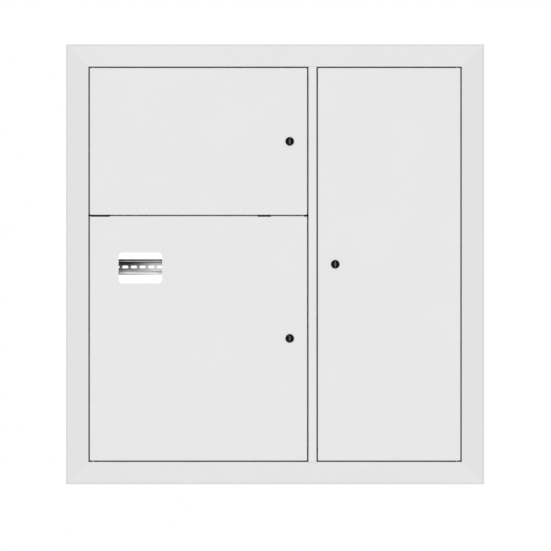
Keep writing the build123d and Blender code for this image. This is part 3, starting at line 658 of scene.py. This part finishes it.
def add_screw(shape, low, high, head_height):
    """Domed screw with a cross recess and a thread, in the box from low to high."""
    x = (low.x + high.x) / 2
    z = (low.z + high.z) / 2
    head = (high.x - low.x) / 2
    flat = HEAD_FLAT_SHARE * head
    seat = low.y + head_height
    dome = head_height * (1 - HEAD_EDGE_SHARE)
    levels = []
    for step in range(HEAD_STEPS + 1):
        angle = math.pi / 2 * step / HEAD_STEPS
        levels.append((low.y + dome * (1 - math.cos(angle)), flat + (head - flat) * math.sin(angle), None))
    levels.append((seat, head, None))
    levels.append((seat, SCREW_RADIUS, None))
    levels += thread_levels(seat + SCREW_PITCH, high.y - SCREW_PITCH, SCREW_RADIUS, SCREW_PITCH)
    levels.append((high.y, TIP_SHARE * SCREW_RADIUS, None))
    rings = add_turned(shape, x, z, levels)
    shape.faces.new(rings[-1])
    add_cross_recess(shape, x, z, rings[0], RECESS_REACH_SHARE * head, RECESS_DEPTH_SHARE * head)


def add_screws(node_name, head_height):
    """Detailed screws in the places of the plain ones of a node."""
    shape = bmesh.new()
    for low, high in islands(node_name):
        add_screw(shape, low, high, head_height)
    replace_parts(add_mesh(node_name + "_detailed", shape, "zinc_steel"), node_name)


def add_stud():
    """Threaded earth stud in the place of the plain one."""
    low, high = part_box("earth_stud")
    radius = (high.x - low.x) / 2
    levels = [(low.y, TIP_SHARE * radius, None)]
    levels += thread_levels(low.y + STUD_PITCH, high.y, radius, STUD_PITCH)
    shape = bmesh.new()
    rings = add_turned(shape, (low.x + high.x) / 2, (low.z + high.z) / 2, levels)
    shape.faces.new(rings[0])
    shape.faces.new(rings[-1])
    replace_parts(add_mesh("earth_stud_detailed", shape, "zinc_steel"), "earth_stud")


def add_floor():
    """Pale floor below the part that fades out into the white surroundings."""
    centre = (cad_low + cad_high) / 2
    mesh = bpy.data.meshes.new("floor")
    outline = bmesh.new()
    bmesh.ops.create_circle(outline, cap_ends=True, segments=FLOOR_SEGMENTS, radius=FLOOR_RADIUS)
    outline.to_mesh(mesh)
    outline.free()
    floor = bpy.data.objects.new("floor", mesh)
    floor.location = (centre.x, centre.y, cad_low.z - FLOOR_BELOW_PART)
    bpy.context.scene.collection.objects.link(floor)

    finish = Finish("pale_floor")
    finish.colour(finish.tones(finish.noise(scale=2.0), FLOOR_COLOUR, low=0.98, high=1.02))
    finish.roughness(FLOOR_ROUGHNESS)
    radius = finish.operation("ShaderNodeVectorMath", "LENGTH", finish.place)["Value"]
    fade = finish.between(radius, low=1.0, high=0.0, start=FLOOR_FADE_START, end=FLOOR_RADIUS)
    finish.feed(fade, finish.shader.inputs["Alpha"])
    mesh.materials.append(finish.material)


def add_strip_light():
    """Tall soft light straight in front, far away so that it lights the whole front evenly."""
    light = bpy.data.lights.new("front_strip", "AREA")
    light.shape = "RECTANGLE"
    light.size = 2 * STRIP_DISTANCE * math.tan(math.radians(STRIP_HALF_WIDTH_DEG))
    light.size_y = 2 * STRIP_DISTANCE * math.tan(math.radians(STRIP_HALF_HEIGHT_DEG))
    light.energy = STRIP_RADIANCE * math.pi * light.size * light.size_y
    strip = bpy.data.objects.new("front_strip", light)
    strip.location = (0.0, cad_low.y - STRIP_DISTANCE, 0.0)
    strip.rotation_euler = (math.pi / 2, 0.0, 0.0)
    strip.visible_camera = False
    bpy.context.scene.collection.objects.link(strip)


def add_world():
    """Soft dome, darker to the left and right, that is plain white to the camera and in reflections."""
    world = bpy.data.worlds.new("studio")
    world.use_nodes = True
    world.node_tree.nodes.clear()
    studio = Nodes(world.node_tree)
    direction = studio.node("ShaderNodeTexCoord").outputs["Generated"]
    upright = studio.operation("ShaderNodeVectorMath", "MULTIPLY", direction, (0.0, 1.0, 1.0))["Vector"]
    from_side = studio.operation("ShaderNodeVectorMath", "LENGTH", upright)["Value"]
    strength = studio.node("ShaderNodeMapRange", Value=from_side)
    strength.interpolation_type = "SMOOTHSTEP"
    for name, value in (("From Max", SIDE_FADE), ("To Min", SIDE_STRENGTH), ("To Max", DOME_STRENGTH)):
        strength.inputs[name].default_value = value
    dome = studio.node("ShaderNodeBackground", Color=WHITE, Strength=strength.outputs["Result"])
    white = studio.node("ShaderNodeBackground", Color=WHITE)
    path = studio.node("ShaderNodeLightPath").outputs
    seen = path["Is Camera Ray"]
    for ray in ("Is Glossy Ray", "Is Transmission Ray"):
        seen = studio.operation("ShaderNodeMath", "MAXIMUM", seen, path[ray])["Value"]
    mixed = studio.node("ShaderNodeMixShader", Fac=seen)
    for background, socket in zip((dome, white), mixed.inputs[1:]):
        studio.feed(background.outputs["Background"], socket)
    studio.node("ShaderNodeOutputWorld", Surface=mixed.outputs["Shader"])
    bpy.context.scene.world = world


def add_camera():
    """Camera straight in front, with the part where the photograph has it in the frame."""
    frame_width = IMAGE_PIXELS * METRES_PER_PIXEL
    rim_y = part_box("frame_left")[0].y
    centre = (cad_low + cad_high) / 2
    camera = bpy.data.cameras.new("camera")
    camera.sensor_width = SENSOR_WIDTH
    camera.lens = SENSOR_WIDTH * CAMERA_DISTANCE / frame_width
    camera.clip_end = CAMERA_CLIP_END
    holder = bpy.data.objects.new("camera", camera)
    right = (IMAGE_PIXELS / 2 - OBJECT_MIDDLE_PIXEL[0]) * METRES_PER_PIXEL
    up = (OBJECT_MIDDLE_PIXEL[1] - IMAGE_PIXELS / 2) * METRES_PER_PIXEL
    holder.location = (centre.x + right, rim_y - CAMERA_DISTANCE, centre.z + up)
    holder.rotation_euler = (math.pi / 2, 0.0, 0.0)
    bpy.context.scene.collection.objects.link(holder)
    bpy.context.scene.camera = holder


add_gap_shade_bead()
add_edge_tape()
for screw_node in ("frame_screws", "rail_screws", "plastron_screws", "bar_screws", "comms_plate_screws"):
    add_screws(screw_node, PAN_HEAD_HEIGHT)
add_screws("terminal_screws", TERMINAL_HEAD_HEIGHT)
add_stud()
add_floor()
add_strip_light()
add_world()
add_camera()
bpy.context.scene.view_settings.view_transform = "Standard"
